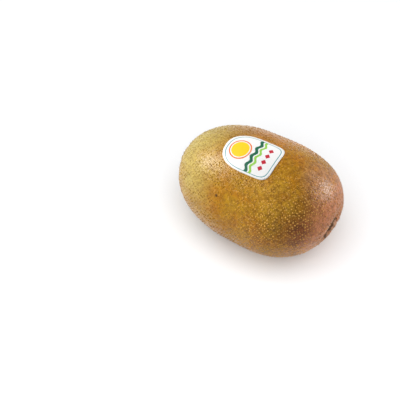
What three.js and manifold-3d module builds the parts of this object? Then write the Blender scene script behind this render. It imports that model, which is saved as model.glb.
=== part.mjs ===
// A whole golden kiwi fruit lying on its side, as picked and packed.
//
// The fruit is one solid: a blunt barrel, fuller and squarer at its stem end, a little wider than it is
// high, that settles on a small flat spot. Dry things grow at its two ends: the calyx, which is what is
// left of five sepals round a corky stalk scar, and the tuft of shrivelled styles at the blossom end. A
// thin label lies on top.
//
// Millimetres, +Z up. +X runs along the fruit towards its stem end. The origin is the middle of the flat
// spot that the fruit rests on, straight below its centre of weight.

import * as THREE from "three";
import { mergeVertices } from "three/addons/utils/BufferGeometryUtils.js";
import Module from "manifold-3d";

// ---- Driving dimensions ----

const FRUIT_LENGTH = 73; // pole to pole, before the dent at the stem
const FRUIT_WIDTH = 50;
const FRUIT_HEIGHT = 48.4;
const STEM_FULLNESS = 2.9; // 2 is an ellipse, and more is blunter
const TIP_FULLNESS = 2.5;
const TAPER = 0.035; // how much wider the stem half is
const LOBE = 0.008; // three soft lobes round the girth, as a share of the radius
const LOBE_TWIST = 0.5; // radians that the lobes turn from the middle to an end
const STEM_LEAN = 0.085; // slope of the stem end's face, which leans up and back
const STEM_LEAN_SIDE = 0.74;
const STEM_LEAN_UP = 0.67;
const STEM_LEAN_START = 0.2; // share of the half length where the lean begins
// An oval dent round the stalk, which grew a little off the axis, and at the other end a nipple, which is a
// dent turned outwards.
const STEM_DENT = { depth: 2.6, length: 6.2, width: 3.8, turn: 44, side: -0.1, up: -2.2 };
const TIP_NIPPLE = { depth: -0.5, length: 3.6, width: 3.6, turn: 0, side: 0, up: 0 };

const REST_TILT = THREE.MathUtils.degToRad(1.3); // the stem end rides up until the weight is over the spot
const FLAT_DEPTH = 0.35; // how far the resting spot cuts into the round

const SEAT_GAP = 0.3; // clearance between each loose-grown piece and the skin

const SCAR_LENGTH = 3.5; // half lengths of the oval scar, which is longest the same way as the dent
const SCAR_WIDTH = 1.6;
const SCAR_HEIGHT = 0.9;
const SCAR_HOLLOW = 0.4;
const SEPAL_WIDTH = 5;
const SEPAL_THICKNESS = 0.6;
// Round the stalk, from the fruit's side over its top, each with its root well inside the scar. The two on
// the upper front side are broken short.
const SEPALS = [
  { direction: 33, root: 2.4, length: 2, curl: 0.3 },
  { direction: 88, root: 1.2, length: 1, curl: 0 },
  { direction: 158, root: 1.2, length: 1, curl: 0 },
  { direction: 228, root: 2.6, length: 2.7, curl: 0.8 },
  { direction: 310, root: 1, length: 3.6, curl: 0.2 },
];

const TUFT_RADIUS = 2.1;
const TUFT_HEIGHT = 0.5;
const STYLES = 26;
const STYLE_LENGTH = 1.2;
const STYLE_RADIUS = 0.3;

const LABEL_LENGTH = 24;
const LABEL_WIDTH = 18;
const LABEL_THICKNESS = 0.5;
const LABEL_MIDDLE = -2; // along the fruit, from its middle
const LABEL_ROUND = THREE.MathUtils.degToRad(98); // round the fruit, from its side over the top
const LABEL_TURN = THREE.MathUtils.degToRad(-1);
const LABEL_ARCH = 2.4; // outline power at the arched end
const LABEL_SQUARE = 6; // outline power at the square end

const FRUIT_SEGMENTS = 72;
const FRUIT_RINGS = 46;
const SEED = 7;

const STEM_END = 1;
const TIP_END = -1;
const AXIS = new THREE.Vector3(1, 0, 0);

const wasm = await Module();
wasm.setup();

// ---- Solids: manifold-3d joins and cuts, and three.js makes every shape ----

function toSolid(geometry) {
  const bare = geometry.clone();
  bare.deleteAttribute("normal");
  bare.deleteAttribute("uv");
  const merged = mergeVertices(bare, 1e-4);
  return new wasm.Manifold(
    new wasm.Mesh({
      numProp: 3,
      vertProperties: merged.attributes.position.array,
      triVerts: new Uint32Array(merged.index.array),
    }),
  );
}

function toGeometry(solid) {
  const { vertProperties, triVerts } = solid.getMesh();
  const geometry = new THREE.BufferGeometry();
  geometry.setAttribute("position", new THREE.BufferAttribute(vertProperties, 3));
  geometry.setIndex(new THREE.BufferAttribute(triVerts, 1));
  geometry.computeVertexNormals();
  return geometry;
}

const fuse = (geometries) => toGeometry(geometries.map(toSolid).reduce((all, next) => all.add(next)));

// Moves every vertex of a geometry to place(vertex).
function shape(geometry, place) {
  const position = geometry.attributes.position;
  const vertex = new THREE.Vector3();
  for (let i = 0; i < position.count; i++) {
    const { x, y, z } = place(vertex.fromBufferAttribute(position, i));
    position.setXYZ(i, x, y, z);
  }
  return geometry;
}

// A seeded source of numbers from 0 to 1.
function randomSource(seed) {
  let state = seed >>> 0;
  return () => {
    state = (state + 0x6d2b79f5) >>> 0;
    let mixed = Math.imul(state ^ (state >>> 15), 1 | state);
    mixed = (mixed + Math.imul(mixed ^ (mixed >>> 7), 61 | mixed)) ^ mixed;
    return ((mixed ^ (mixed >>> 14)) >>> 0) / 4294967296;
  };
}

// ---- The skin: one formula that everything on the fruit is laid on ----

const fullness = (along) => (along > 0 ? STEM_FULLNESS : TIP_FULLNESS);
const girth = (along) =>
  Math.sqrt(Math.max(0, 1 - Math.abs(along) ** fullness(along))) * (1 + TAPER * along);
const WIDEST = Math.max(...Array.from({ length: 201 }, (_, i) => girth(i / 100 - 1)));

function dent({ depth, length, width, turn, side, up }, y, z) {
  const angle = THREE.MathUtils.degToRad(turn);
  const long = (y - side) * Math.cos(angle) + (z - up) * Math.sin(angle);
  const wide = (z - up) * Math.cos(angle) - (y - side) * Math.sin(angle);
  return depth * Math.exp(-((long / length) ** 2) - (wide / width) ** 2);
}

// The skin at polar angle `polar` from the stem pole and `around` from +Y over the top.
function skinPoint(polar, around) {
  const along = Math.cos(polar);
  const lobes = 1 + LOBE * Math.cos(3 * (around - Math.PI / 2) + LOBE_TWIST * along);
  const radius = (girth(along) / WIDEST) * lobes;
  const y = (FRUIT_WIDTH / 2) * radius * Math.cos(around);
  const z = (FRUIT_HEIGHT / 2) * radius * Math.sin(around);
  const lean = STEM_LEAN * THREE.MathUtils.smoothstep(along, STEM_LEAN_START, 1);
  const hollow = along > 0 ? -dent(STEM_DENT, y, z) : dent(TIP_NIPPLE, y, z);
  const x = (FRUIT_LENGTH / 2) * along + lean * (STEM_LEAN_SIDE * y + STEM_LEAN_UP * z) + hollow;
  return new THREE.Vector3(x, y, z);
}

function skinNormal(polar, around) {
  const step = 1e-3;
  const safe = THREE.MathUtils.clamp(polar, 2 * step, Math.PI - 2 * step);
  const down = skinPoint(safe + step, around).sub(skinPoint(safe - step, around));
  const round = skinPoint(safe, around + step).sub(skinPoint(safe, around - step));
  return down.cross(round).normalize();
}

const aboveSkin = (polar, around, height) =>
  skinPoint(polar, around).addScaledVector(skinNormal(polar, around), height);

// A point over one end of the fruit, at a distance and in a direction from the middle of the dent or
// nipple there, and at a height above the skin.
function aboveEnd(end, distance, around, height) {
  const middle = end > 0 ? STEM_DENT : TIP_NIPPLE;
  const y = middle.side + distance * Math.cos(around);
  const z = middle.up + distance * Math.sin(around);
  const share = Math.hypot(y, z) / ((FRUIT_WIDTH + FRUIT_HEIGHT) / 4);
  const along = (1 - share * share) ** (1 / fullness(end));
  return aboveSkin(Math.acos(end * along), Math.atan2(z, y), height);
}

// ---- The pieces ----

function fruitGeometry() {
  const ball = new THREE.SphereGeometry(1, FRUIT_SEGMENTS, FRUIT_RINGS).rotateZ(-Math.PI / 2);
  return shape(ball, ({ x, y, z }) =>
    skinPoint(Math.acos(THREE.MathUtils.clamp(x, -1, 1)), Math.atan2(z, y)),
  );
}

// The centre of weight of a closed geometry, summed over the wedges between its faces and the origin.
function centreOfWeight(geometry) {
  const { position } = geometry.attributes;
  const index = geometry.index.array;
  const corner = [new THREE.Vector3(), new THREE.Vector3(), new THREE.Vector3()];
  const sum = new THREE.Vector3();
  let volume = 0;
  for (let i = 0; i < index.length; i += 3) {
    const [a, b, c] = corner.map((v, k) => v.fromBufferAttribute(position, index[i + k]));
    const wedge = a.dot(new THREE.Vector3().crossVectors(b, c)) / 6;
    volume += wedge;
    sum.addScaledVector(a.add(b).add(c), wedge / 4);
  }
  return sum.divideScalar(volume);
}

// The pose in which the fruit lies: tilted, with its weight over the origin and its lowest point just
// below the surface it lies on, which is what the flat spot takes off.
function restingPose(geometry) {
  const pose = new THREE.Matrix4().makeRotationY(-REST_TILT);
  const lying = geometry.clone().applyMatrix4(pose);
  lying.computeBoundingBox();
  const weight = centreOfWeight(lying);
  return pose.setPosition(-weight.x, -weight.y, -lying.boundingBox.min.z - FLAT_DEPTH);
}

function flattened(geometry, pose) {
  const below = new THREE.BoxGeometry(FRUIT_LENGTH, FRUIT_WIDTH, FRUIT_HEIGHT);
  below.translate(0, 0, -FRUIT_HEIGHT / 2).applyMatrix4(pose.clone().invert());
  return toGeometry(toSolid(geometry).subtract(toSolid(below)));
}

function scarReach(around) {
  const turned = around - THREE.MathUtils.degToRad(STEM_DENT.turn);
  return 1 / Math.hypot(Math.cos(turned) / SCAR_LENGTH, Math.sin(turned) / SCAR_WIDTH);
}

// The corky oval left by the stalk: a raised rim round a hollow middle.
function stalkScar() {
  const profile = [
    [0, 0],
    [1, 0],
    [1.04, SCAR_HEIGHT * 0.45],
    [0.93, SCAR_HEIGHT * 0.9],
    [0.72, SCAR_HEIGHT],
    [0.48, SCAR_HEIGHT - SCAR_HOLLOW * 0.6],
    [0, SCAR_HEIGHT - SCAR_HOLLOW],
  ].map(([share, height]) => new THREE.Vector2(share, height));
  const turned = new THREE.LatheGeometry(profile, 28).rotateZ(-Math.PI / 2);
  return shape(turned, ({ x, y, z }) => {
    const around = Math.atan2(z, y);
    return aboveEnd(STEM_END, Math.hypot(y, z) * scarReach(around), around, SEAT_GAP + x);
  });
}

// One dry sepal: an ovate blade that starts inside the scar, follows the skin and curls up at its tip.
function sepal({ direction, root, length, curl }) {
  const blade = new THREE.BoxGeometry(1, 1, 1, 8, 1, 4);
  return shape(blade, ({ x, y, z }) => {
    const out = x + 0.5;
    const across = -2 * z;
    const half = (SEPAL_WIDTH / 2) * (0.62 + 0.38 * Math.sin(Math.PI * out)) * (1 - 0.8 * out ** 4);
    const radial = root + length * out;
    const side = across * half * Math.min(1, length / SEPAL_WIDTH + 0.3);
    return aboveEnd(
      STEM_END,
      Math.hypot(radial, side),
      THREE.MathUtils.degToRad(direction) + Math.atan2(side, radial),
      SEAT_GAP + curl * out ** 2.2 + SEPAL_THICKNESS * (y + 0.5),
    );
  });
}

const calyxGeometry = () => fuse([stalkScar(), ...SEPALS.map(sepal)]);

// The low cushion that the styles stand in.
function tuftCushion() {
  const profile = [
    [0, 0],
    [TUFT_RADIUS, 0],
    [TUFT_RADIUS * 0.96, TUFT_HEIGHT * 0.6],
    [TUFT_RADIUS * 0.6, TUFT_HEIGHT],
    [0, TUFT_HEIGHT * 0.8],
  ].map(([radius, height]) => new THREE.Vector2(radius, height));
  const turned = new THREE.LatheGeometry(profile, 18).rotateZ(Math.PI / 2);
  return shape(turned, ({ x, y, z }) =>
    aboveEnd(TIP_END, Math.hypot(y, z), Math.atan2(z, y), SEAT_GAP - x),
  );
}

// One shrivelled style: a thin spike that starts inside the cushion and leans away from the middle.
function style(distance, around, lean, length) {
  const root = aboveEnd(TIP_END, distance, around, SEAT_GAP + TUFT_HEIGHT * 0.35);
  const outward = new THREE.Vector3(0, Math.cos(around), Math.sin(around));
  const heading = new THREE.Vector3(-Math.cos(lean), 0, 0).addScaledVector(outward, Math.sin(lean));
  const spike = new THREE.CylinderGeometry(STYLE_RADIUS * 0.35, STYLE_RADIUS, length, 5);
  spike.translate(0, length / 2, 0);
  spike.applyQuaternion(
    new THREE.Quaternion().setFromUnitVectors(new THREE.Vector3(0, 1, 0), heading.normalize()),
  );
  return spike.translate(root.x, root.y, root.z);
}

function tuftGeometry(random) {
  const golden = Math.PI * (3 - Math.sqrt(5));
  const styles = Array.from({ length: STYLES }, (_, i) => {
    const share = Math.sqrt((i + 0.5) / STYLES);
    const lean = THREE.MathUtils.degToRad(15 + 62 * share + 12 * (random() - 0.5));
    const around = i * golden + 0.3 * (random() - 0.5);
    return style(TUFT_RADIUS * 0.72 * share, around, lean, STYLE_LENGTH * (0.55 + 0.5 * random()));
  });
  return fuse([tuftCushion(), ...styles]);
}

// The label's outline, as its reach in a direction of its own plane: arched at one end, square at the other.
function labelReach(direction) {
  const power = Math.cos(direction) < 0 ? LABEL_ARCH : LABEL_SQUARE;
  const long = Math.abs(Math.cos(direction) / (LABEL_LENGTH / 2)) ** power;
  const wide = Math.abs(Math.sin(direction) / (LABEL_WIDTH / 2)) ** power;
  return (long + wide) ** (-1 / power);
}

function labelGeometry() {
  const rings = [0, 0.25, 0.5, 0.75, 1];
  const profile = [
    ...rings.map((share) => new THREE.Vector2(share, 0)),
    ...rings.toReversed().map((share) => new THREE.Vector2(share, LABEL_THICKNESS)),
  ];
  const middle = Math.acos(LABEL_MIDDLE / (FRUIT_LENGTH / 2));
  return shape(new THREE.LatheGeometry(profile, 60), ({ x, y, z }) => {
    const direction = Math.atan2(z, x);
    const reach = Math.hypot(x, z) * labelReach(direction);
    const along = LABEL_MIDDLE + reach * Math.cos(direction + LABEL_TURN);
    const across = reach * Math.sin(direction + LABEL_TURN);
    const polar = Math.acos(along / (FRUIT_LENGTH / 2));
    const bend = skinPoint(middle, LABEL_ROUND);
    return aboveSkin(polar, LABEL_ROUND + across / Math.hypot(bend.y, bend.z), SEAT_GAP + y);
  });
}

// ---- The finished object ----

const finish = (color, roughness) => new THREE.MeshStandardMaterial({ color, roughness, metalness: 0 });

function piece(name, geometry, material) {
  const mesh = new THREE.Mesh(geometry, material);
  mesh.name = name;
  return mesh;
}

const random = randomSource(SEED);
const round = fruitGeometry();
const pose = restingPose(round);

const kiwi = new THREE.Group();
kiwi.applyMatrix4(pose);
kiwi.add(
  piece("fruit", flattened(round, pose), finish(0xa87b3c, 0.5)),
  piece("calyx", calyxGeometry(), finish(0x7a5a40, 0.85)),
  piece("style_tuft", tuftGeometry(random), finish(0x4f3524, 0.9)),
  piece("label", labelGeometry(), finish(0xf2efe4, 0.35)),
);

const root = new THREE.Group();
root.add(kiwi);

export default root;
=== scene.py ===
"""A whole golden kiwi fruit lying on its side on a white table.

Everything is in metres, with +Z up and +X along the fruit towards its stem end. The origin is the middle
of the flat spot that the fruit rests on. One formula gives the skin, and every other piece is laid on it.
"""

import math
import random
from bisect import bisect_left

import bpy
from mathutils import Matrix, Vector, noise


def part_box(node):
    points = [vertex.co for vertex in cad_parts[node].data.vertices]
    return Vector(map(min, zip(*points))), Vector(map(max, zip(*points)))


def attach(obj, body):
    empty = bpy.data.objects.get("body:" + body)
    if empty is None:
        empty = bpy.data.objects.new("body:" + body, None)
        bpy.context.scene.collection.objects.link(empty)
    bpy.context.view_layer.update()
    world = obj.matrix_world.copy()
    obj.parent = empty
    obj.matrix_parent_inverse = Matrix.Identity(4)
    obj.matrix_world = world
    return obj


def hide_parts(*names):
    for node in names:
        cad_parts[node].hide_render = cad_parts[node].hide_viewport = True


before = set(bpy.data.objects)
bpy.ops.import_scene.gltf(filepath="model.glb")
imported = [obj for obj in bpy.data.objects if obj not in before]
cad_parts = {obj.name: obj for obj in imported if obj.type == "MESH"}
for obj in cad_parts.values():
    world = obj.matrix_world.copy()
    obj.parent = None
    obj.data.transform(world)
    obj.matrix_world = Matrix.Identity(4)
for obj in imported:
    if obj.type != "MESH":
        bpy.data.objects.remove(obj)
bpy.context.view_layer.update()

# ---- Driving dimensions ----

FRUIT_LENGTH = 0.073
FRUIT_WIDTH = 0.050
FRUIT_HEIGHT = 0.0484
STEM_FULLNESS = 2.9
TIP_FULLNESS = 2.5
TAPER = 0.035
LOBE = 0.008
LOBE_TWIST = 0.5
STEM_LEAN = 0.085
STEM_LEAN_SIDE = 0.74
STEM_LEAN_UP = 0.67
STEM_LEAN_START = 0.2
STEM_DENT = {
    "depth": 0.0026,
    "length": 0.0062,
    "width": 0.0038,
    "turn": 44,
    "side": -0.0001,
    "up": -0.0022,
}
TIP_NIPPLE = {
    "depth": -0.0005,
    "length": 0.0036,
    "width": 0.0036,
    "turn": 0,
    "side": 0.0,
    "up": 0.0,
}
REST_TILT = math.radians(1.3)
FLAT_SOFTNESS = 0.0001

SKIN_RINGS = 228
SKIN_SEGMENTS = 360
SWELL_SIZE = 0.011
SWELL_HEIGHT = 0.00022
GRAIN_SIZE = 0.0021
GRAIN_HEIGHT = 0.00004
PUCKERS = 13
PUCKER_HEIGHT = 0.00022
PUCKER_START = 0.0026
PUCKER_REACH = 0.0085
PUCKER_WANDER = 2.4

LABEL_LENGTH = 0.024
LABEL_WIDTH = 0.018
LABEL_THICKNESS = 0.00012
LABEL_LIFT = 0.00004
LABEL_MIDDLE = -0.002
LABEL_ROUND = math.radians(98)
LABEL_TURN = math.radians(-1)
LABEL_ARCH = 2.4
LABEL_SQUARE = 6
LABEL_RINGS = 26
LABEL_SEGMENTS = 120

STEM_END = 1
TIP_END = -1
GOLDEN_ANGLE = math.pi * (3 - math.sqrt(5))


# ---- The skin's formula ----


def smoothstep(value, low, high):
    share = min(1, max(0, (value - low) / (high - low)))
    return share * share * (3 - 2 * share)


def girth(along):
    """The fruit's radius at a place from -1 to 1 along it, before it is scaled to its width."""
    fullness = STEM_FULLNESS if along > 0 else TIP_FULLNESS
    return math.sqrt(max(0, 1 - abs(along) ** fullness)) * (1 + TAPER * along)


WIDEST = max(girth(step / 100 - 1) for step in range(201))


def off_middle(end, y, z):
    """The distance of a place from the middle of the dent or nipple at one end."""
    middle = STEM_DENT if end > 0 else TIP_NIPPLE
    return math.hypot(y - middle["side"], z - middle["up"])


def dent(shape, y, z):
    """The depth at a place of a soft oval dent, which is longest in the direction of its turn."""
    turn = math.radians(shape["turn"])
    side, up = y - shape["side"], z - shape["up"]
    long = (side * math.cos(turn) + up * math.sin(turn)) / shape["length"]
    wide = (up * math.cos(turn) - side * math.sin(turn)) / shape["width"]
    return shape["depth"] * math.exp(-long * long - wide * wide)


def form_point(polar, around):
    """The smooth form at an angle from the stem pole and an angle round from +Y over the top."""
    along = math.cos(polar)
    lobes = 1 + LOBE * math.cos(3 * (around - math.pi / 2) + LOBE_TWIST * along)
    radius = girth(along) / WIDEST * lobes
    y = FRUIT_WIDTH / 2 * radius * math.cos(around)
    z = FRUIT_HEIGHT / 2 * radius * math.sin(around)
    lean = STEM_LEAN * smoothstep(along, STEM_LEAN_START, 1)
    hollow = -dent(STEM_DENT, y, z) if along > 0 else dent(TIP_NIPPLE, y, z)
    x = FRUIT_LENGTH / 2 * along + lean * (STEM_LEAN_SIDE * y + STEM_LEAN_UP * z) + hollow
    return Vector((x, y, z))


def form_normal(polar, around):
    step = 1e-3
    safe = min(math.pi - 2 * step, max(2 * step, polar))
    lengthwise = form_point(safe + step, around) - form_point(safe - step, around)
    crosswise = form_point(safe, around + step) - form_point(safe, around - step)
    return lengthwise.cross(crosswise).normalized()


def end_relief(point, around):
    """Puckers that run in towards the stalk and the blossom end."""
    off_axis = off_middle(point.x, point.y, point.z)
    if off_axis > 2 * PUCKER_REACH:
        return 0
    rise = smoothstep(off_axis, PUCKER_START * 0.4, PUCKER_START)
    fade = rise * math.exp(-((off_axis / PUCKER_REACH) ** 2))
    wander = PUCKER_WANDER * noise.noise(point / SWELL_SIZE * 2)
    return PUCKER_HEIGHT * fade * math.cos(PUCKERS * around + wander)


def relief(point, around):
    """How far the skin stands off the smooth form."""
    swell = SWELL_HEIGHT * noise.noise(point / SWELL_SIZE)
    grain = GRAIN_HEIGHT * noise.noise(point / GRAIN_SIZE)
    return swell + grain + end_relief(point, around)


def skin_seat(polar, around):
    """A point on the skin and the skin's outward direction there, in the fruit's own axes."""
    point = form_point(polar, around)
    normal = form_normal(polar, around)
    return point + normal * relief(point, around), normal


def above_skin(polar, around, height):
    point, normal = skin_seat(polar, around)
    return point + normal * height


def end_angle(end, distance):
    """The polar angle of a place near one end, at a distance from the fruit's axis."""
    share = distance / ((FRUIT_WIDTH + FRUIT_HEIGHT) / 4)
    fullness = STEM_FULLNESS if end > 0 else TIP_FULLNESS
    return math.acos(end * (1 - share * share) ** (1 / fullness))


def above_end(end, distance, around, height):
    """A place over one end, at a distance and in a direction from the middle of its dent or nipple."""
    middle = STEM_DENT if end > 0 else TIP_NIPPLE
    y = middle["side"] + distance * math.cos(around)
    z = middle["up"] + distance * math.sin(around)
    return above_skin(end_angle(end, math.hypot(y, z)), math.atan2(z, y), height)


def resting_pose():
    """Turns the fruit's own axes to the pose in which it lies, and fits it to the frame's box."""
    tilt = Matrix.Rotation(-REST_TILT, 4, "Y")
    outline = [
        tilt @ form_point(math.pi * ring / 90, math.tau * step / 120)
        for ring in range(91)
        for step in range(120)
    ]
    low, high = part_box("fruit")
    shift = Vector(
        (
            (low[0] + high[0] - min(p.x for p in outline) - max(p.x for p in outline)) / 2,
            (low[1] + high[1] - min(p.y for p in outline) - max(p.y for p in outline)) / 2,
            high[2] - max(p.z for p in outline),
        )
    )
    return Matrix.Translation(shift) @ tilt


POSE = resting_pose()


SPREAD_STEPS = 600
SPREAD_ALONG = 9
SPREAD_AROUND = 0.05


def even_spread(count, jitter, source):
    """Places spread evenly over the whole skin, as angle pairs, each moved a little at random."""
    covered = [0.0]
    for step in range(SPREAD_STEPS):
        here = math.pi * step / SPREAD_STEPS
        there = math.pi * (step + 1) / SPREAD_STEPS
        slant = (form_point(there, 0) - form_point(here, 0)).length
        covered.append(covered[-1] + slant * girth(math.cos((here + there) / 2)))
    for index in range(count):
        share = (index + 0.5 + jitter * (source.random() - 0.5) * SPREAD_ALONG) / count
        target = min(1, max(0, share)) * covered[-1]
        step = min(SPREAD_STEPS, max(1, bisect_left(covered, target)))
        part = (target - covered[step - 1]) / (covered[step] - covered[step - 1])
        around = index * GOLDEN_ANGLE + jitter * (source.random() - 0.5) * SPREAD_AROUND
        yield math.pi * (step - 1 + part) / SPREAD_STEPS, around % math.tau


# ---- The label's outline, on the skin ----


def label_reach(direction):
    """The outline's reach in a direction of its own plane: arched at one end, square at the other."""
    power = LABEL_ARCH if math.cos(direction) < 0 else LABEL_SQUARE
    long = abs(math.cos(direction) / (LABEL_LENGTH / 2)) ** power
    wide = abs(math.sin(direction) / (LABEL_WIDTH / 2)) ** power
    return (long + wide) ** (-1 / power)


def label_bend():
    """The skin's distance from the fruit's axis under the middle of the label."""
    middle = form_point(math.acos(LABEL_MIDDLE / (FRUIT_LENGTH / 2)), LABEL_ROUND)
    return math.hypot(middle.y, middle.z)


LABEL_BEND = label_bend()


def label_place(long, wide):
    """The angle pair on the skin of a place in the label's own plane."""
    turn_cos, turn_sin = math.cos(LABEL_TURN), math.sin(LABEL_TURN)
    along = LABEL_MIDDLE + long * turn_cos - wide * turn_sin
    across = long * turn_sin + wide * turn_cos
    return math.acos(along / (FRUIT_LENGTH / 2)), LABEL_ROUND + across / LABEL_BEND


def under_label(polar, around, margin=0.0004):
    along = FRUIT_LENGTH / 2 * math.cos(polar) - LABEL_MIDDLE
    across = (around - LABEL_ROUND) * LABEL_BEND
    direction = math.atan2(across, along) - LABEL_TURN
    return math.hypot(along, across) < label_reach(direction) + margin


# ---- Meshes ----


def lay(point):
    """Takes a point from the fruit's own axes to the table, which presses a small spot flat."""
    x, y, z = POSE @ point
    return x, y, (z + math.sqrt(z * z + FLAT_SOFTNESS**2)) / 2


def place(point):
    return tuple(POSE @ point)


def make_piece(name, points, faces, finish, replaced=None):
    """A smooth mesh piece that rides with the fruit."""
    mesh = bpy.data.meshes.new(name)
    mesh.from_pydata(points, [], faces)
    mesh.shade_smooth()
    mesh.materials.append(finish)
    piece = bpy.data.objects.new(name, mesh)
    dressed.objects.link(piece)
    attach(piece, "root")
    if replaced:
        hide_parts(replaced)
    return piece


def ring_faces(first, second, count):
    """Quads between two rings of points, given by the index of each ring's first point."""
    return [
        (first + i, second + i, second + (i + 1) % count, first + (i + 1) % count) for i in range(count)
    ]


def fan_faces(middle, ring, count, outward=True):
    """Triangles from one point to a ring."""
    fan = [(middle, ring + i, ring + (i + 1) % count) for i in range(count)]
    return fan if outward else [(a, c, b) for a, b, c in fan]


class Soup:
    """Points and faces of many small closed bodies that make one piece."""

    def __init__(self):
        self.points = []
        self.faces = []

    def add(self, points, faces):
        start = len(self.points)
        self.points.extend(points)
        self.faces.extend(tuple(start + corner for corner in face) for face in faces)


def cross_directions(direction, twist=0.0):
    """Two directions square to a direction and to each other."""
    side = direction.orthogonal().normalized()
    side.rotate(Matrix.Rotation(twist, 3, direction))
    return side, direction.cross(side).normalized()


def strand(path, radii, sides):
    """A closed thin body along a path, pointed where the last radius is 0."""
    points, faces = [], []
    for index, (middle, radius) in enumerate(zip(path, radii)):
        before = path[max(0, index - 1)]
        after = path[min(len(path) - 1, index + 1)]
        side, up = cross_directions((after - before).normalized())
        if radius == 0:
            points.append(middle)
            continue
        for step in range(sides):
            angle = math.tau * step / sides
            points.append(middle + (side * math.cos(angle) + up * math.sin(angle)) * radius)
    rings = len(points) // sides
    for ring in range(rings - 1):
        faces += [tuple(reversed(f)) for f in ring_faces(ring * sides, (ring + 1) * sides, sides)]
    last = (rings - 1) * sides
    if radii[-1] == 0:
        faces += fan_faces(len(points) - 1, last, sides)
    else:
        faces.append(tuple(range(last, last + sides)))
    faces.append(tuple(reversed(range(sides))))
    return points, faces


# ---- Finishes ----


class Value:
    """An output socket whose arithmetic adds Math nodes to its finish."""

    def __init__(self, finish, socket):
        self.finish = finish
        self.socket = socket

    def maths(self, operation, *inputs):
        return self.finish.node("Math", {"operation": operation}, dict(enumerate(inputs)))[0]

    def __add__(self, other):
        return self.maths("ADD", self, other)

    def __radd__(self, other):
        return self.maths("ADD", other, self)

    def __sub__(self, other):
        return self.maths("SUBTRACT", self, other)

    def __rsub__(self, other):
        return self.maths("SUBTRACT", other, self)

    def __mul__(self, other):
        return self.maths("MULTIPLY", self, other)

    def __rmul__(self, other):
        return self.maths("MULTIPLY", other, self)

    def __truediv__(self, other):
        return self.maths("DIVIDE", self, other)

    def __rtruediv__(self, other):
        return self.maths("DIVIDE", other, self)

    def __pow__(self, other):
        return self.maths("POWER", self, other)

    def __abs__(self):
        return self.maths("ABSOLUTE", self)

    def ramp(self, low, high):
        """0 where the value is at low and 1 where it is at high, eased between them. Either may be larger."""
        settings = {"interpolation_type": "SMOOTHSTEP", "clamp": True}
        if low < high:
            return self.finish.node("MapRange", settings, {"Value": self, 1: low, 2: high})[0]
        return 1 - self.finish.node("MapRange", settings, {"Value": self, 1: high, 2: low})[0]


class Finish:
    """A material made of nodes, with a Principled shader."""

    def __init__(self, name):
        self.material = bpy.data.materials.new(name)
        self.material.use_nodes = True
        self.tree = self.material.node_tree
        self.tree.nodes.clear()

    def node(self, kind, settings=None, inputs=None):
        """Adds a node with its settings, then its inputs, and gives its outputs as values."""
        made = self.tree.nodes.new("ShaderNode" + kind)
        for name, setting in (settings or {}).items():
            setattr(made, name, setting)
        for key, given in (inputs or {}).items():
            if isinstance(given, Value):
                self.tree.links.new(given.socket, made.inputs[key])
            else:
                made.inputs[key].default_value = given
        return [Value(self, socket) for socket in made.outputs]

    def mix(self, factor, first, second):
        """A colour between two colours."""
        settings = {"data_type": "RGBA"}
        return self.node("Mix", settings, {0: factor, 6: colour(first), 7: colour(second)})[2]

    def vector(self, operation, first, second):
        made = self.node("VectorMath", {"operation": operation}, {0: first, 1: second})
        return made[1] if operation == "DISTANCE" else made[0]

    def place(self):
        """The place on the object, in metres from its origin."""
        return self.node("TexCoord")[3]

    def noise(self, where, size, detail=2.0, roughness=0.5):
        inputs = {"Vector": where, "Scale": 1 / size, "Detail": detail, "Roughness": roughness}
        return self.node("TexNoise", {}, inputs)[0]

    def cells(self, where, size):
        """The distance to the nearest of many points, in cell sizes, and a colour for each point."""
        return self.node("TexVoronoi", {}, {"Vector": where, "Scale": 1 / size})[:2]

    def bump(self, height, distance, strength=1.0, under=None):
        inputs = {"Strength": strength, "Distance": distance, "Height": height}
        if under:
            inputs["Normal"] = under
        return self.node("Bump", {}, inputs)[0]

    def shader(self, **inputs):
        """The Principled shader. Underscores stand for the spaces in its inputs' names."""
        named = {name.replace("_", " "): colour(given) for name, given in inputs.items()}
        shade = self.node("BsdfPrincipled", {}, named)[0]
        self.node("OutputMaterial", {}, {0: shade})
        return self.material


def colour(given):
    """A tuple of three as the four numbers of a colour socket, and anything else as it is."""
    return (*given, 1.0) if isinstance(given, tuple) and len(given) == 3 else given


def split(finish, where):
    """The three coordinates of a place."""
    return finish.node("SeparateXYZ", {}, {0: where})[:3]


HONEY = (0.41, 0.325, 0.085)
GOLDEN_BROWN = (0.366, 0.140, 0.002)
OLIVE = (0.358, 0.168, 0.002)
# A rosier stem-end tone; its blue is partly a painted sheen on the stem end.
ROSY_BROWN_AND_SHEEN = (0.390, 0.138, 0.060)
UMBER = (0.08, 0.022, 0.001)
PALE_CORK = (0.70, 0.375, 0.09)
# Painted highlight: the next two colours are lighter patches that stand in for highlights on the fruit's top
# and on the top of the stem end.
PAINTED_HIGHLIGHT_GOLD = (0.50, 0.270, 0.020)
PAINTED_HIGHLIGHT_PINK = (0.43, 0.215, 0.120)
# A dark russet: the colour of a real blemish and of dark sepal tips, and also painted shade in the stalk's
# dent and along the slit beside it.
DARK_RUSSET_AND_SHADE = (0.05, 0.022, 0.010)
# Painted shade: a dark colour for the core shade along the stem's third, between the sides that the lamps
# light.
PAINTED_CORE_SHADE = (0.19, 0.042, 0.002)
OLIVE_GOLD = (0.40, 0.215, 0.008)
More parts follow.
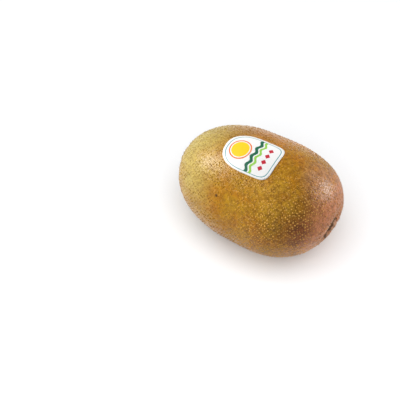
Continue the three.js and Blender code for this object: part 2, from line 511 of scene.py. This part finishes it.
# Painted shade: a darker patch on the top behind the label.
PAINTED_SHADE_BROWN = (0.24, 0.094, 0.003)
TAN = (0.315, 0.145, 0.010)
DARK_DOWN = (0.27, 0.15, 0.06)
PALE_DOWN = (0.46, 0.31, 0.16)
LEAF_TAN = (0.32, 0.175, 0.105)
LEAF_BROWN = (0.21, 0.11, 0.06)
LEAF_WORN = (0.46, 0.35, 0.27)
LEAF_FIBRE = (0.08, 0.038, 0.018)
DARK_CORK = (0.05, 0.024, 0.012)
BROWN_CORK = (0.14, 0.075, 0.04)
WORN_CORK = (0.30, 0.19, 0.11)
STYLE_BLACK = (0.035, 0.018, 0.010)
STYLE_BROWN = (0.17, 0.095, 0.05)
TABLE_WHITE = (0.88, 0.89, 0.905)
TABLE_GREY = (0.86, 0.87, 0.885)
STEM_CAVITY = place(above_end(STEM_END, 0, 0, 0))
# Soft patches over the skin's colour. The two tan ones brown the tip's hidden sides and the olive-gold one
# lightens the skin below the label. The pale gold and pink tan ones are painted highlights on the top and on
# the top of the stem end; the shade brown one is painted shade on the top behind the label; the two darkest
# are painted core shade along the stem's third, between the sides that the lamps light.
PATCHES = (
    {"tint": TAN, "middle": (-0.0340, 0.0180, 0.0120), "reach": 0.0360, "share": 1.0},
    {"tint": TAN, "middle": (-0.0290, -0.0150, 0.0100), "reach": 0.0310, "share": 1.0},
    {"tint": OLIVE_GOLD, "middle": (0.0040, -0.0190, 0.0370), "reach": 0.0160, "share": 0.8},
    {"tint": PAINTED_HIGHLIGHT_GOLD, "middle": (0.0162, -0.0138, 0.0422), "reach": 0.0150, "share": 0.8},
    {"tint": PAINTED_HIGHLIGHT_PINK, "middle": (0.0255, 0.0030, 0.0430), "reach": 0.0115, "share": 0.7},
    {"tint": PAINTED_SHADE_BROWN, "middle": (-0.0100, 0.0110, 0.0440), "reach": 0.0200, "share": 0.6},
    {"tint": PAINTED_CORE_SHADE, "middle": (0.0262, -0.0085, 0.0408), "reach": 0.0075, "share": 0.3},
    {"tint": PAINTED_CORE_SHADE, "middle": (0.0275, -0.0160, 0.0300), "reach": 0.0105, "share": 0.95},
)
BLEMISH = place(above_skin(math.radians(102), math.radians(150.3), 0))


def near(finish, where, middle, reach, edge):
    """1 within a distance of a point, less its soft edge, and 0 beyond that distance."""
    return finish.vector("DISTANCE", where, middle).ramp(reach, reach - edge)


def skin_tone(finish, where):
    """The skin's colour without its dots: honey at the tip, olive gold in the middle, rosier at the stem, the
    rose partly a painted sheen. Soft patches add painted highlights and painted shade, and the stalk's dent
    gets painted shade.
    """
    x = split(finish, where)[0]
    wander = finish.noise(where, 0.016, 3) - 0.5
    along = x / (FRUIT_LENGTH / 2) + wander * 0.55
    cloud = finish.noise(where, 0.0075, 4, 0.6)
    middle = finish.mix(cloud.ramp(0.36, 0.62), GOLDEN_BROWN, OLIVE)
    towards_tip = finish.mix(along.ramp(-0.1, -0.85), middle, HONEY)
    tone = finish.mix(along.ramp(0.5, 1.0), towards_tip, ROSY_BROWN_AND_SHEEN)
    # Lay the soft patches, among them painted highlights and painted shade.
    for patch in PATCHES:
        inner = near(finish, where, patch["middle"], patch["reach"], patch["reach"] * 0.8)
        tone = finish.mix(inner * patch["share"] * cloud.ramp(0.2, 0.6), tone, patch["tint"])
    mottle = finish.noise(where, 0.0017, 4, 0.65)
    mottled = finish.mix(mottle.ramp(0.64, 0.34) * (0.36 + 0.22 * x.ramp(-0.01, 0.02)), tone, UMBER)
    blotted = finish.mix(near(finish, where, BLEMISH, 0.0009, 0.0005) * 0.85, mottled, DARK_RUSSET_AND_SHADE)
    # Painted shade: the skin darkens in and round the stalk's dent, over darker russet.
    return finish.mix(near(finish, where, STEM_CAVITY, 0.0040, 0.0018) * 0.85, blotted, DARK_RUSSET_AND_SHADE)


def paleness(finish, where):
    """How pale the dots are: most low on the stem's half, less at its end, on top and behind."""
    x, y, z = split(finish, where)
    high = 1 - 0.5 * z.ramp(0.038, 0.046)
    behind = 1 - 0.5 * y.ramp(-0.002, 0.016)
    end = 1 - 0.65 * x.ramp(0.0285, 0.034)
    return x.ramp(-0.014, 0.016) * high * behind * end


def skin_finish():
    finish = Finish("kiwi_skin")
    where = finish.place()
    tone = skin_tone(finish, where)
    gap, chance = finish.cells(where, 0.00140)
    luck = split(finish, chance)[0]
    speck = gap.ramp(0.42, 0.20) * luck.ramp(0.1, 0.7)
    speckled = finish.mix(speck * (0.10 + 0.34 * paleness(finish, where)), tone, PALE_CORK)
    pit_gap, pit_chance = finish.cells(where, 0.0019)
    pit_luck = split(finish, pit_chance)[1]
    pit = pit_gap.ramp(0.17, 0.07) * pit_luck.ramp(0.35, 0.5)
    pitted = finish.mix(pit * 0.75, speckled, UMBER)
    wrinkle = finish.noise(where, 0.0006, 5, 0.7)
    roughness = 0.20 + 0.16 * wrinkle + 0.42 * speck + 0.3 * pit
    pebble = finish.noise(where, 0.0012, 2)
    normal = finish.bump(pebble, 0.00018, 1.0)
    normal = finish.bump(wrinkle, 0.00014, 1.0, normal)
    normal = finish.bump(speck - pit, 0.00010, 0.8, normal)
    height = split(finish, where)[2]
    waxy = height.ramp(0.029, 0.041) * (1 - speck) * (1 - pit)
    return finish.shader(
        Base_Color=pitted,
        Roughness=roughness,
        Normal=normal,
        Specular_IOR_Level=0.24,
        Specular_Tint=(1.0, 0.84, 0.62),
        Coat_Weight=waxy * 0.16,
        Coat_Roughness=0.36,
        Coat_IOR=1.5,
        Sheen_Weight=0.30,
        Sheen_Roughness=0.36,
        Sheen_Tint=(1.0, 0.78, 0.64),
    )


def lenticel_finish():
    finish = Finish("lenticel_cork")
    where = finish.place()
    tone = skin_tone(finish, where)
    grit = finish.noise(where, 0.0009, 3)
    share = paleness(finish, where)
    pale = finish.mix(share * (0.36 + 0.50 * grit), tone, PALE_CORK)
    base = finish.mix((1 - share) * 0.25, pale, UMBER)
    return finish.shader(Base_Color=base, Roughness=0.85, Specular_IOR_Level=0.12)


def down_finish():
    finish = Finish("down_hair")
    where = finish.place()
    shade = finish.noise(where, 0.002, 2)
    tone = finish.mix(shade, DARK_DOWN, PALE_DOWN)
    return finish.shader(Base_Color=tone, Roughness=0.55, Specular_IOR_Level=0.3)


def dry_leaf_finish():
    finish = Finish("dry_sepal")
    where = finish.place()
    fibre = finish.noise(where, 0.0005, 5, 0.7)
    stain = finish.noise(where, 0.0024, 3)
    base = finish.mix(stain.ramp(0.35, 0.65), LEAF_TAN, LEAF_BROWN)
    worn = finish.mix(fibre.ramp(0.52, 0.75) * 0.45, base, LEAF_WORN)
    dark = finish.mix(fibre.ramp(0.48, 0.28) * 0.6, worn, LEAF_FIBRE)
    out = finish.vector("DISTANCE", where, STEM_CAVITY)
    turn = math.radians(STEM_DENT["turn"])
    _, y, z = split(finish, finish.vector("SUBTRACT", where, STEM_CAVITY))
    # Painted shade: the sepals darken along the dent's near side, where the slit's shadow falls, and at their
    # roots down in the dent.
    slit_shade = (z * math.cos(turn) - y * math.sin(turn) + (stain - 0.5) * 0.0012).ramp(-0.0022, -0.0006)
    dent_shaded_roots = finish.mix(out.ramp(0.0034, 0.0024) * 0.85, dark, DARK_RUSSET_AND_SHADE)
    shaded = finish.mix(slit_shade * 0.85, dent_shaded_roots, DARK_RUSSET_AND_SHADE)
    tipped = finish.mix(out.ramp(0.0050, 0.0060) * 0.8, shaded, DARK_RUSSET_AND_SHADE)
    normal = finish.bump(fibre, 0.00010, 0.9)
    return finish.shader(Base_Color=tipped, Roughness=0.85, Normal=normal, Specular_IOR_Level=0.12)


def scar_finish():
    finish = Finish("stalk_cork")
    where = finish.place()
    grit = finish.noise(where, 0.0004, 5, 0.7)
    stain = finish.noise(where, 0.0016, 3)
    base = finish.mix(stain, DARK_CORK, BROWN_CORK)
    worn = finish.mix(grit.ramp(0.5, 0.8) * 0.6, base, WORN_CORK)
    normal = finish.bump(grit, 0.00016, 1.0)
    return finish.shader(Base_Color=worn, Roughness=0.88, Normal=normal, Specular_IOR_Level=0.2)


def style_finish():
    finish = Finish("dry_style")
    where = finish.place()
    grit = finish.noise(where, 0.0005, 4, 0.6)
    base = finish.mix(grit, STYLE_BLACK, STYLE_BROWN)
    normal = finish.bump(grit, 0.00008, 0.8)
    return finish.shader(Base_Color=base, Roughness=0.75, Normal=normal, Specular_IOR_Level=0.3)


WHITE_PRINT = (0.66, 0.66, 0.65)
YELLOW_PRINT = (0.73, 0.47, 0.01)
ORANGE_PRINT = (0.63, 0.14, 0.01)
RED_PRINT = (0.41, 0.015, 0.03)
LEAF_PRINT = (0.23, 0.46, 0.065)
FOREST_PRINT = (0.008, 0.10, 0.05)
TEAL_PRINT = (0.055, 0.23, 0.245)
PRINT_EDGE = 0.00007
PRINT_DISC = (-0.0050, 0.0)
PRINT_DISC_RADIUS = 0.0038
PRINT_RING_RADIUS = 0.0045
PRINT_RING_HALF = 0.00028
PRINT_WAVES = ((0.0014, 0.00075, FOREST_PRINT), (0.0033, 0.00055, LEAF_PRINT))
PRINT_WAVE_LENGTH = 0.0042
PRINT_WAVE_HEIGHT = 0.0005
PRINT_DIAMONDS = (-0.0045, -0.0015, 0.0015, 0.0045)
PRINT_DIAMOND_PLACE = 0.0068
PRINT_DIAMOND_SIZE = 0.0012
PRINT_FRAME = 0.90
PRINT_FRAME_HALF = 0.014
PRINT_FRAME_EDGE = 0.004


def inside(value, limit, soft=PRINT_EDGE):
    """1 where a value is under a limit and 0 over it, with a crisp printed edge."""
    return value.ramp(limit + soft, limit - soft)


def label_finish():
    """White film with a plain print: a ringed disc, two waves, a row of diamonds and a thin frame."""
    finish = Finish("label_film")
    spot = finish.node("UVMap", {"uv_map": "print"})[0]
    long, wide, _ = split(finish, spot)
    power = LABEL_ARCH + (LABEL_SQUARE - LABEL_ARCH) * long.ramp(-0.0001, 0.0001)
    reach = (abs(long) / (LABEL_LENGTH / 2)) ** power + (abs(wide) / (LABEL_WIDTH / 2)) ** power
    edge = reach ** (1 / power)
    within = inside(edge, PRINT_FRAME, PRINT_FRAME_EDGE)
    frame_line = inside(abs(edge - PRINT_FRAME), PRINT_FRAME_HALF, PRINT_FRAME_EDGE)
    printed = finish.mix(frame_line, WHITE_PRINT, TEAL_PRINT)
    turns = wide * (math.tau / PRINT_WAVE_LENGTH)
    wave = turns.maths("SINE", turns)
    for station, half, ink in PRINT_WAVES:
        band = inside(abs(long + wave * PRINT_WAVE_HEIGHT - station), half)
        printed = finish.mix(band * within, printed, ink)
    for middle in PRINT_DIAMONDS:
        diamond = abs(long - PRINT_DIAMOND_PLACE) + abs(wide - middle)
        printed = finish.mix(inside(diamond, PRINT_DIAMOND_SIZE), printed, RED_PRINT)
    away = finish.vector("DISTANCE", spot, (*PRINT_DISC, 0.0))
    printed = finish.mix(inside(away, PRINT_DISC_RADIUS), printed, YELLOW_PRINT)
    printed = finish.mix(inside(abs(away - PRINT_RING_RADIUS), PRINT_RING_HALF), printed, ORANGE_PRINT)
    return finish.shader(Base_Color=printed, Roughness=0.34, Specular_IOR_Level=0.45)


def table_finish():
    finish = Finish("white_table")
    where = finish.place()
    tooth = finish.noise(where, 0.004, 2)
    tone = finish.mix(tooth * 0.1, TABLE_WHITE, TABLE_GREY)
    return finish.shader(Base_Color=tone, Roughness=0.55, Specular_IOR_Level=0.25)


# ---- The pieces ----


def fruit_skin(finish):
    """The fruit's whole skin as one closed body."""
    points = [lay(above_skin(0, 0, 0))]
    for ring in range(1, SKIN_RINGS):
        polar = math.pi * ring / SKIN_RINGS
        for step in range(SKIN_SEGMENTS):
            points.append(lay(above_skin(polar, math.tau * step / SKIN_SEGMENTS, 0)))
    points.append(lay(above_skin(math.pi, 0, 0)))
    faces = fan_faces(0, 1, SKIN_SEGMENTS)
    for ring in range(SKIN_RINGS - 2):
        first = 1 + ring * SKIN_SEGMENTS
        faces += ring_faces(first, first + SKIN_SEGMENTS, SKIN_SEGMENTS)
    last = len(points) - 1
    faces += fan_faces(last, last - SKIN_SEGMENTS, SKIN_SEGMENTS, outward=False)
    return make_piece("fruit_skin", points, faces, finish, "fruit")


LENTICELS = 7000
LENTICEL_SIDES = 6
LENTICEL_SMALLEST = 0.00019
LENTICEL_SPREAD = 0.00028
LENTICEL_PROFILE = ((1.0, -0.30), (0.72, 0.22))
LENTICEL_TOP = 0.34
LENTICEL_FREE_END = 0.0035
LENTICEL_FREE_BELOW = 0.0003


def lenticels(finish):
    """Low corky domes all over the skin, most of them small."""
    source = random.Random(11)
    soup = Soup()
    for polar, around in even_spread(LENTICELS, 1.0, source):
        size = LENTICEL_SMALLEST + LENTICEL_SPREAD * source.random() ** 2
        turn = source.uniform(0, math.tau)
        stretch = source.uniform(1.0, 1.5)
        point, normal = skin_seat(polar, around)
        if under_label(polar, around) or lay(point)[2] < LENTICEL_FREE_BELOW:
            continue
        if off_middle(point.x, point.y, point.z) < LENTICEL_FREE_END:
            continue
        side, up = cross_directions(normal, turn)
        body = []
        for reach, height in LENTICEL_PROFILE:
            for step in range(LENTICEL_SIDES):
                angle = math.tau * step / LENTICEL_SIDES
                flat = side * math.cos(angle) * stretch + up * math.sin(angle)
                body.append(place(point + flat * (reach * size) + normal * (height * size)))
        body.append(place(point + normal * (LENTICEL_TOP * size)))
        faces = [tuple(reversed(f)) for f in ring_faces(0, LENTICEL_SIDES, LENTICEL_SIDES)]
        faces += fan_faces(2 * LENTICEL_SIDES, LENTICEL_SIDES, LENTICEL_SIDES)
        faces.append(tuple(reversed(range(LENTICEL_SIDES))))
        soup.add(body, faces)
    return make_piece("lenticels", soup.points, soup.faces, finish)


DOWN_HAIRS = 9000
HAIR_LENGTH = 0.00055
HAIR_RADIUS = 0.000013
DOWN_FREE_BELOW = 0.0012
DOWN_LABEL_MARGIN = 0.0007


def hair(root, normal, length, radius, source):
    """A short bent hair that leans over at random."""
    side, up = cross_directions(normal, source.uniform(0, math.tau))
    lean = source.uniform(0.3, 1.1)
    bend = side * source.uniform(0.2, 0.9) + up * source.uniform(-0.3, 0.3)
    first = (normal + side * lean * 0.5).normalized()
    second = (normal + bend + side * lean).normalized()
    knee = root + first * (length * 0.5)
    tip = knee + second * (length * 0.5)
    return strand([root - normal * radius * 2, knee, tip], [radius, radius * 0.8, 0], 3)


def down(finish):
    """The thin short down that is left on the skin, spread evenly over it."""
    source = random.Random(23)
    soup = Soup()
    for polar, around in even_spread(DOWN_HAIRS, 1.6, source):
        point, normal = skin_seat(polar, around)
        length = HAIR_LENGTH * source.uniform(0.45, 1.25)
        points, faces = hair(point, normal, length, HAIR_RADIUS, source)
        if under_label(polar, around, DOWN_LABEL_MARGIN) or lay(point)[2] < DOWN_FREE_BELOW:
            continue
        soup.add([place(p) for p in points], faces)
    return make_piece("down", soup.points, soup.faces, finish)


SCAR_LENGTH = 0.0035
SCAR_WIDTH = 0.0016
SCAR_HEIGHT = 0.0006
SCAR_SEGMENTS = 72
SCAR_PROFILE = (
    (1.04, -0.25),
    (1.06, 0.10),
    (1.05, 0.40),
    (1.00, 0.70),
    (0.93, 0.90),
    (0.84, 1.00),
    (0.75, 0.98),
    (0.67, 0.86),
    (0.58, 0.70),
    (0.46, 0.62),
    (0.34, 0.60),
    (0.20, 0.62),
    (0.08, 0.66),
)


def scar_reach(around):
    """The oval scar's reach in a direction. It is longest the same way as the dent."""
    turned = around - math.radians(STEM_DENT["turn"])
    return 1 / math.hypot(math.cos(turned) / SCAR_LENGTH, math.sin(turned) / SCAR_WIDTH)


def stalk_scar(finish):
    """The corky oval that the stalk left: a cracked rim round a torn, hollow middle."""
    points, faces = [], []
    for reach, height in SCAR_PROFILE:
        for step in range(SCAR_SEGMENTS):
            around = math.tau * step / SCAR_SEGMENTS
            spot = Vector((reach * math.cos(around), reach * math.sin(around), height))
            rough = noise.noise(spot * 4.0) * 0.10 + noise.noise(spot * 11.0) * 0.06
            ragged = 1 + 0.5 * rough + 0.03 * math.cos(5 * around + 1)
            lift = SCAR_HEIGHT * (height + rough * (1 if height > 0 else 0))
            distance = scar_reach(around) * reach * ragged
            points.append(place(above_end(STEM_END, distance, around, lift)))
    points.append(place(above_end(STEM_END, 0, 0, SCAR_HEIGHT * 0.66)))
    points.append(place(above_end(STEM_END, 0, 0, SCAR_HEIGHT * -0.3)))
    rows = len(SCAR_PROFILE)
    for row in range(rows - 1):
        start = row * SCAR_SEGMENTS
        faces += [tuple(reversed(f)) for f in ring_faces(start, start + SCAR_SEGMENTS, SCAR_SEGMENTS)]
    faces += fan_faces(len(points) - 2, (rows - 1) * SCAR_SEGMENTS, SCAR_SEGMENTS)
    faces += fan_faces(len(points) - 1, 0, SCAR_SEGMENTS, outward=False)
    return make_piece("stalk_scar", points, faces, finish, "calyx")


SEPAL_WIDTH = 0.0050
SEPAL_THICKNESS = 0.00028
SEPAL_LIFT = 0.00020
SEPALS = (
    {"direction": 33, "root": 0.0024, "length": 0.0020, "curl": 0.0003},
    {"direction": 88, "root": 0.0012, "length": 0.0010, "curl": 0.0},
    {"direction": 158, "root": 0.0012, "length": 0.0010, "curl": 0.0},
    {"direction": 228, "root": 0.0026, "length": 0.0027, "curl": 0.0008},
    {"direction": 310, "root": 0.0010, "length": 0.0036, "curl": 0.0002},
)
SEPAL_ROWS = 30
SEPAL_COLUMNS = 18


def sepal_point(sepal, seed, out, across, height):
    """A place on a dry sepal: ovate, ragged at the edge, ribbed along it and curled up at its tip."""
    length = sepal["length"]
    drift = Vector((seed * 7.3, out * 2.2, across * 1.3))
    ragged = 1 + 0.10 * noise.noise(Vector((seed * 3.1, out * 4.0, 2.0 * math.copysign(1, across))))
    half = SEPAL_WIDTH / 2 * (0.62 + 0.38 * math.sin(math.pi * out)) * (1 - 0.8 * out**4) * ragged
    torn = 1 + 0.06 * noise.noise(Vector((seed, across * 3, 5.0)))
    radial = sepal["root"] + length * out * torn
    side = across * half * min(1, length / SEPAL_WIDTH + 0.3)
    ribs = 0.00007 * math.cos(9 * across + 3 * noise.noise(drift)) * (1 - out)
    crumple = 0.00016 * out * noise.noise(drift * 1.6)
    lift = SEPAL_LIFT + sepal["curl"] * out**2.2 + ribs + crumple
    turn = math.radians(sepal["direction"]) + math.atan2(side, radial)
    return above_end(STEM_END, math.hypot(radial, side), turn, lift + height)


def sepals(finish):
    """The dry sepals round the scar, each a thin closed blade."""
    soup = Soup()
    columns = SEPAL_COLUMNS + 1
    for index, sepal in enumerate(SEPALS):
        points = []
        for height in (0, SEPAL_THICKNESS):
            for row in range(SEPAL_ROWS + 1):
                for column in range(columns):
                    out = row / SEPAL_ROWS
                    across = 2 * column / SEPAL_COLUMNS - 1
                    thin = height * (1 - 0.75 * max(abs(across) ** 6, out**8))
                    points.append(place(sepal_point(sepal, index + 1, out, across, thin)))
        soup.add(points, sheet_faces(SEPAL_ROWS + 1, columns))
    return make_piece("sepals", soup.points, soup.faces, finish)


def sheet_faces(rows, columns):
    """The faces of a thin closed sheet: two grids of points, the lower one first, joined round their edge."""
    layer = rows * columns
    faces = []
    for row in range(rows - 1):
        for column in range(columns - 1):
            a = row * columns + column
            b, c, d = a + 1, a + columns + 1, a + columns
            faces.append((a, b, c, d))
            faces.append(tuple(layer + corner for corner in (d, c, b, a)))
    edge = list(range(columns))
    edge += [row * columns + columns - 1 for row in range(1, rows)]
    edge += [(rows - 1) * columns + column for column in reversed(range(columns - 1))]
    edge += [row * columns for row in reversed(range(1, rows - 1))]
    for here, there in zip(edge, edge[1:] + edge[:1]):
        faces.append((there, here, layer + here, layer + there))
    return faces


CALYX_HAIRS = 900
WOOL_REACH = 0.0105
WOOL_START = 0.0033
WOOL_SHORTEST = 0.0004
WOOL_LONGEST = 0.0009
WOOL_RADIUS = 0.000016


def calyx_wool(finish):
    """Rusty felt round the scar and under the sepals."""
    source = random.Random(31)
    soup = Soup()
    for _ in range(CALYX_HAIRS):
        distance = WOOL_REACH * source.random() ** 0.7
        around = source.uniform(0, math.tau)
        if distance < WOOL_START:
            continue
        y = STEM_DENT["side"] + distance * math.cos(around)
        z = STEM_DENT["up"] + distance * math.sin(around)
        point, normal = skin_seat(end_angle(STEM_END, math.hypot(y, z)), math.atan2(z, y))
        length = source.uniform(WOOL_SHORTEST, WOOL_LONGEST)
        points, faces = hair(point, normal, length, WOOL_RADIUS, source)
        soup.add([place(p) for p in points], faces)
    return make_piece("calyx_wool", soup.points, soup.faces, finish)


TUFT_RADIUS = 0.0021
TUFT_HEIGHT = 0.0005
TUFT_SEGMENTS = 48
TUFT_PROFILE = (
    (1.0, -0.3),
    (1.02, 0.15),
    (0.97, 0.5),
    (0.85, 0.8),
    (0.65, 0.95),
    (0.4, 0.95),
    (0.15, 0.85),
)
STYLES = 30
STYLE_LENGTH = 0.0012
STYLE_RADIUS = 0.00017
STYLE_STEPS = 7


def style_path(distance, around, lean, length, source):
    """The wandering middle line of a shrivelled style."""
    root = above_end(TIP_END, distance, around, TUFT_HEIGHT * 0.2)
    outward = Vector((0, math.cos(around), math.sin(around)))
    sideways = Vector((0, -math.sin(around), math.cos(around)))
    drift = source.uniform(-0.6, 0.6)
    path = [root]
    for step in range(STYLE_STEPS):
        share = step / (STYLE_STEPS - 1)
        bend = lean + 0.5 * share * source.uniform(-0.4, 1.0)
        heading = Vector((-math.cos(bend), 0, 0)) + outward * math.sin(bend) + sideways * drift * share
        path.append(path[-1] + heading.normalized() * (length / STYLE_STEPS))
    return path


def style_tuft(finish):
    """The cushion at the blossom end and the shrivelled styles that stand in it."""
    source = random.Random(17)
    soup = Soup()
    soup.add(*tuft_cushion())
    for index in range(STYLES):
        share = math.sqrt((index + 0.5) / STYLES)
        lean = math.radians(12 + 60 * share)
        around = index * GOLDEN_ANGLE + 0.3 * (source.random() - 0.5)
        length = STYLE_LENGTH * source.uniform(0.55, 1.05)
        path = style_path(TUFT_RADIUS * 0.72 * share, around, lean, length, source)
        radii = [STYLE_RADIUS * (1.15 - 0.5 * step / STYLE_STEPS) for step in range(STYLE_STEPS + 1)]
        radii[-1] *= 1.5
        points, faces = strand(path, radii, 6)
        soup.add([place(p) for p in points], faces)
    return make_piece("dry_styles", soup.points, soup.faces, finish, "style_tuft")


def tuft_cushion():
    """A low wrinkled mound as points and faces."""
    points, faces = [], []
    for reach, height in TUFT_PROFILE:
        for step in range(TUFT_SEGMENTS):
            around = math.tau * step / TUFT_SEGMENTS
            spot = Vector((reach * math.cos(around), reach * math.sin(around), height))
            rough = 0.12 * noise.noise(spot * 5.0)
            distance = TUFT_RADIUS * reach * (1 + rough)
            points.append(place(above_end(TIP_END, distance, around, TUFT_HEIGHT * (height + rough))))
    points.append(place(above_end(TIP_END, 0, 0, TUFT_HEIGHT * 0.8)))
    points.append(place(above_end(TIP_END, 0, 0, TUFT_HEIGHT * -0.4)))
    last = (len(TUFT_PROFILE) - 1) * TUFT_SEGMENTS
    for start in range(0, last, TUFT_SEGMENTS):
        faces += ring_faces(start, start + TUFT_SEGMENTS, TUFT_SEGMENTS)
    faces += fan_faces(len(points) - 2, last, TUFT_SEGMENTS, outward=False)
    faces += fan_faces(len(points) - 1, 0, TUFT_SEGMENTS)
    return points, faces


def label_film(finish):
    """The thin label, bent to the skin, with its flat places kept for the print."""
    points, flats = [], []
    for height in (LABEL_LIFT, LABEL_LIFT + LABEL_THICKNESS):
        points.append(place(above_skin(*label_place(0, 0), height)))
        flats.append((0.0, 0.0))
        for ring in range(1, LABEL_RINGS + 1):
            for step in range(LABEL_SEGMENTS):
                direction = math.tau * step / LABEL_SEGMENTS
                reach = label_reach(direction) * ring / LABEL_RINGS
                long, wide = reach * math.cos(direction), reach * math.sin(direction)
                points.append(place(above_skin(*label_place(long, wide), height)))
                flats.append((long, wide))
    layer = 1 + LABEL_RINGS * LABEL_SEGMENTS
    outer = layer - LABEL_SEGMENTS
    faces = fan_faces(0, 1, LABEL_SEGMENTS) + fan_faces(layer, layer + 1, LABEL_SEGMENTS, outward=False)
    for ring in range(LABEL_RINGS - 1):
        first = 1 + ring * LABEL_SEGMENTS
        under = ring_faces(first, first + LABEL_SEGMENTS, LABEL_SEGMENTS)
        faces += under
        faces += [tuple(layer + corner for corner in reversed(f)) for f in under]
    faces += ring_faces(outer, layer + outer, LABEL_SEGMENTS)
    film = make_piece("label_film", points, faces, finish, "label")
    layout = film.data.uv_layers.new(name="print")
    for loop in film.data.loops:
        layout.data[loop.index].uv = flats[loop.vertex_index]
    return film


# ---- The studio ----

PICTURE_SIZE = 400
SENSOR_WIDTH = 36.0
FOCAL_PIXELS = 1061.0
CAMERA_AZIMUTH = math.radians(33.23)
CAMERA_ELEVATION = math.radians(49.82)
CAMERA_DISTANCE = 0.4499
AIM_HEIGHT = 0.0237
AIM_IN_PICTURE = (260.4, 189.6)
TENT_OPENING = (0.35, -0.54, 0.76)
TENT_BRIGHT = 0.40
TENT_DIM = 0.09
TABLE_REACH = 1.5


def add_camera():
    """A camera that sees the point over the origin at its own place in the picture."""
    azimuth, elevation = CAMERA_AZIMUTH, CAMERA_ELEVATION
    back = Vector(
        (
            math.sin(azimuth) * math.cos(elevation),
            -math.cos(azimuth) * math.cos(elevation),
            math.sin(elevation),
        )
    )
    right = Vector((math.cos(azimuth), math.sin(azimuth), 0))
    up = back.cross(right)
    half = PICTURE_SIZE / 2
    off_right = (AIM_IN_PICTURE[0] - half) / FOCAL_PIXELS
    off_up = (half - AIM_IN_PICTURE[1]) / FOCAL_PIXELS
    data = bpy.data.cameras.new("camera")
    data.sensor_width = SENSOR_WIDTH
    data.lens = SENSOR_WIDTH * FOCAL_PIXELS / PICTURE_SIZE
    camera = bpy.data.objects.new("camera", data)
    aim = Vector((0, 0, AIM_HEIGHT))
    camera.location = aim + (back - right * off_right - up * off_up) * CAMERA_DISTANCE
    camera.rotation_mode = "QUATERNION"
    camera.rotation_quaternion = Matrix((right, up, back)).transposed().to_quaternion()
    bpy.context.scene.collection.objects.link(camera)
    bpy.context.scene.camera = camera


def add_softbox(name, direction, distance, size, power, lit):
    """A square soft light in a direction from the fruit, turned to face it, that lights one collection."""
    data = bpy.data.lights.new(name, "AREA")
    data.shape = "SQUARE"
    data.size = size
    data.energy = power
    light = bpy.data.objects.new(name, data)
    heading = Vector(direction).normalized()
    light.location = heading * distance + Vector((0, 0, AIM_HEIGHT))
    light.rotation_mode = "QUATERNION"
    light.rotation_quaternion = heading.to_track_quat("Z", "Y")
    light.light_linking.receiver_collection = lit
    bpy.context.scene.collection.objects.link(light)


def add_table(finish):
    corners = [(x * TABLE_REACH, y * TABLE_REACH, 0) for x, y in ((-1, -1), (1, -1), (1, 1), (-1, 1))]
    mesh = bpy.data.meshes.new("table")
    mesh.from_pydata(corners, [], [(0, 1, 2, 3)])
    mesh.materials.append(finish)
    table = bpy.data.objects.new("table", mesh)
    floor.objects.link(table)


def set_world(bright, dim):
    """A bright tent that is dim towards the front, where such a tent is open."""
    world = bpy.data.worlds.new("studio")
    world.use_nodes = True
    tree = world.node_tree
    heading = tree.nodes.new("ShaderNodeTexCoord").outputs["Generated"]
    frontness = tree.nodes.new("ShaderNodeVectorMath")
    frontness.operation = "DOT_PRODUCT"
    frontness.inputs[1].default_value = TENT_OPENING
    tree.links.new(heading, frontness.inputs[0])
    strength = tree.nodes.new("ShaderNodeMapRange")
    strength.interpolation_type = "SMOOTHSTEP"
    tree.links.new(frontness.outputs["Value"], strength.inputs["Value"])
    for socket, number in (("From Min", 0.3), ("From Max", 0.95), ("To Min", bright), ("To Max", dim)):
        strength.inputs[socket].default_value = number
    backdrop = tree.nodes["Background"]
    tree.links.new(strength.outputs["Result"], backdrop.inputs["Strength"])
    backdrop.inputs["Color"].default_value = (1.0, 1.0, 1.0, 1.0)
    bpy.context.scene.world = world


def make_collection(name):
    made = bpy.data.collections.new(name)
    bpy.context.scene.collection.children.link(made)
    return made


def light_studio():
    """The tent's soft light, a softbox for the table, and three for the fruit: left, right and front."""
    set_world(TENT_BRIGHT, TENT_DIM)
    add_softbox("table_softbox", (0.20, -0.50, 1.0), 0.95, 1.6, 20.5, floor)
    add_softbox("left_softbox", (-0.80, -0.24, 0.56), 0.6, 0.20, 5.7, dressed)
    add_softbox("right_softbox", (0.74, 0.62, 0.27), 0.6, 0.22, 4.0, dressed)
    add_softbox("front_softbox", (0.05, -0.75, 0.60), 0.6, 1.0, 1.2, dressed)
    bpy.context.scene.view_settings.view_transform = "Standard"


dressed = make_collection("dressed")
floor = make_collection("floor")
add_camera()
light_studio()
add_table(table_finish())

fruit_skin(skin_finish())
lenticels(lenticel_finish())
down_hair = down_finish()
down(down_hair)
stalk_scar(scar_finish())
sepals(dry_leaf_finish())
calyx_wool(down_hair)
style_tuft(style_finish())
label_film(label_finish())
